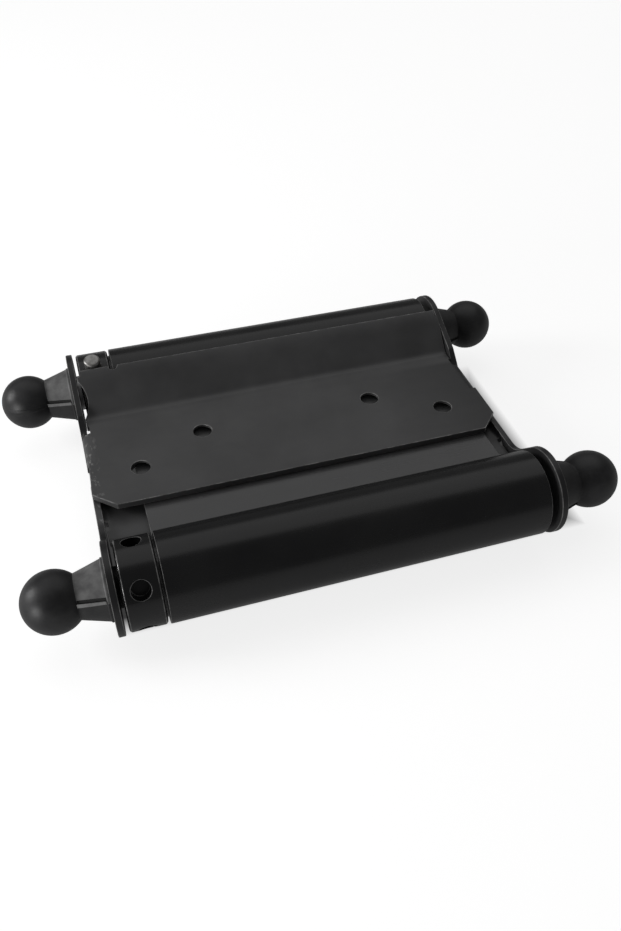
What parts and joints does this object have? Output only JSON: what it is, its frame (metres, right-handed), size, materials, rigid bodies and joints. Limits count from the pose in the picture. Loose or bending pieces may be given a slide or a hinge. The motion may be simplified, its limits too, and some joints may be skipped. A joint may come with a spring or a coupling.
{
  "type": "double-action spring hinge",
  "caption": "Double-action spring hinge: two folded sheet leaves on a web rolled into spring barrels, with tension collars, pins and ball tips, shown closed.",
  "frame": {"origin": "middle of the closed hinge, on the web's middle plane, half way between the barrel axes", "axes": "+X along the barrels, away from the tension collars; +Y from the lower leaf's barrel to the upper leaf's barrel; +Z square to the leaves, out of the upper leaf's screw face"},
  "size_m": [0.1356, 0.0878, 0.0244],
  "materials": {
    "leaf_paint": "gloss black enamel",
    "web_paint": "gloss black enamel",
    "collar_steel": "gloss black enamel",
    "pin_steel": "bare, dull",
    "spindle_steel": "bare, oiled",
    "spring_steel": "oil-tempered wire",
    "plug_steel": "black",
    "washer_steel": "bare, dull",
    "tip_plastic": "satin black moulding"
  },
  "bodies": {
    "lower_leaf": {"leaf_lower": "leaf_paint", "spindle_2": "spindle_steel", "tip_2_left": "tip_plastic", "tip_2_right": "tip_plastic", "washer_2_left": "washer_steel", "washer_2_right": "washer_steel"},
    "centre_web": {"web": "web_paint", "plug_1": "plug_steel", "plug_2": "plug_steel", "spring_1": "spring_steel", "spring_2": "spring_steel"},
    "upper_leaf": {"leaf_upper": "leaf_paint", "spindle_1": "spindle_steel", "tip_1_left": "tip_plastic", "tip_1_right": "tip_plastic", "washer_1_left": "washer_steel", "washer_1_right": "washer_steel"},
    "collar_1": {"collar_1": "collar_steel"},
    "collar_2": {"collar_2": "collar_steel"},
    "pin_1": {"pin_1": "pin_steel"},
    "pin_2": {"pin_2": "pin_steel"}
  },
  "joints": [
    {"name": "web_swing", "type": "hinge", "parent": "lower_leaf", "child": "centre_web", "pos_m": [0, -0.0335, 0], "axis": [1, 0, 0], "range_deg": [0, 120], "stiffness_Nm_per_rad": 0.5, "springref_deg": -34.38, "deforming": ["spring_2"]},
    {"name": "upper_leaf_swing", "type": "hinge", "parent": "centre_web", "child": "upper_leaf", "pos_m": [0, 0.0335, 0], "axis": [-1, 0, 0], "range_deg": [0, 120], "stiffness_Nm_per_rad": 0.5, "springref_deg": -34.38, "deforming": ["spring_1"]},
    {"name": "collar_1_turn", "type": "hinge", "parent": "upper_leaf", "child": "collar_1", "pos_m": [-0.04385, 0.0335, 0], "axis": [-1, 0, 0], "range_deg": [0, 270], "stiffness_Nm_per_rad": 0.05, "springref_deg": -28.65, "deforming": ["spring_1"]},
    {"name": "collar_2_turn", "type": "hinge", "parent": "lower_leaf", "child": "collar_2", "pos_m": [-0.04385, -0.0335, 0], "axis": [-1, 0, 0], "range_deg": [0, 270], "stiffness_Nm_per_rad": 0.05, "springref_deg": -28.65, "deforming": ["spring_2"]},
    {"name": "pin_1_pull", "type": "slide", "parent": "collar_1", "child": "pin_1", "axis": [0, -0.2498, 0.9683], "range_m": [0, 0.0047]},
    {"name": "pin_2_pull", "type": "slide", "parent": "collar_2", "child": "pin_2", "axis": [0, 0.2498, -0.9683], "range_m": [0, 0.0047]}
  ]
}
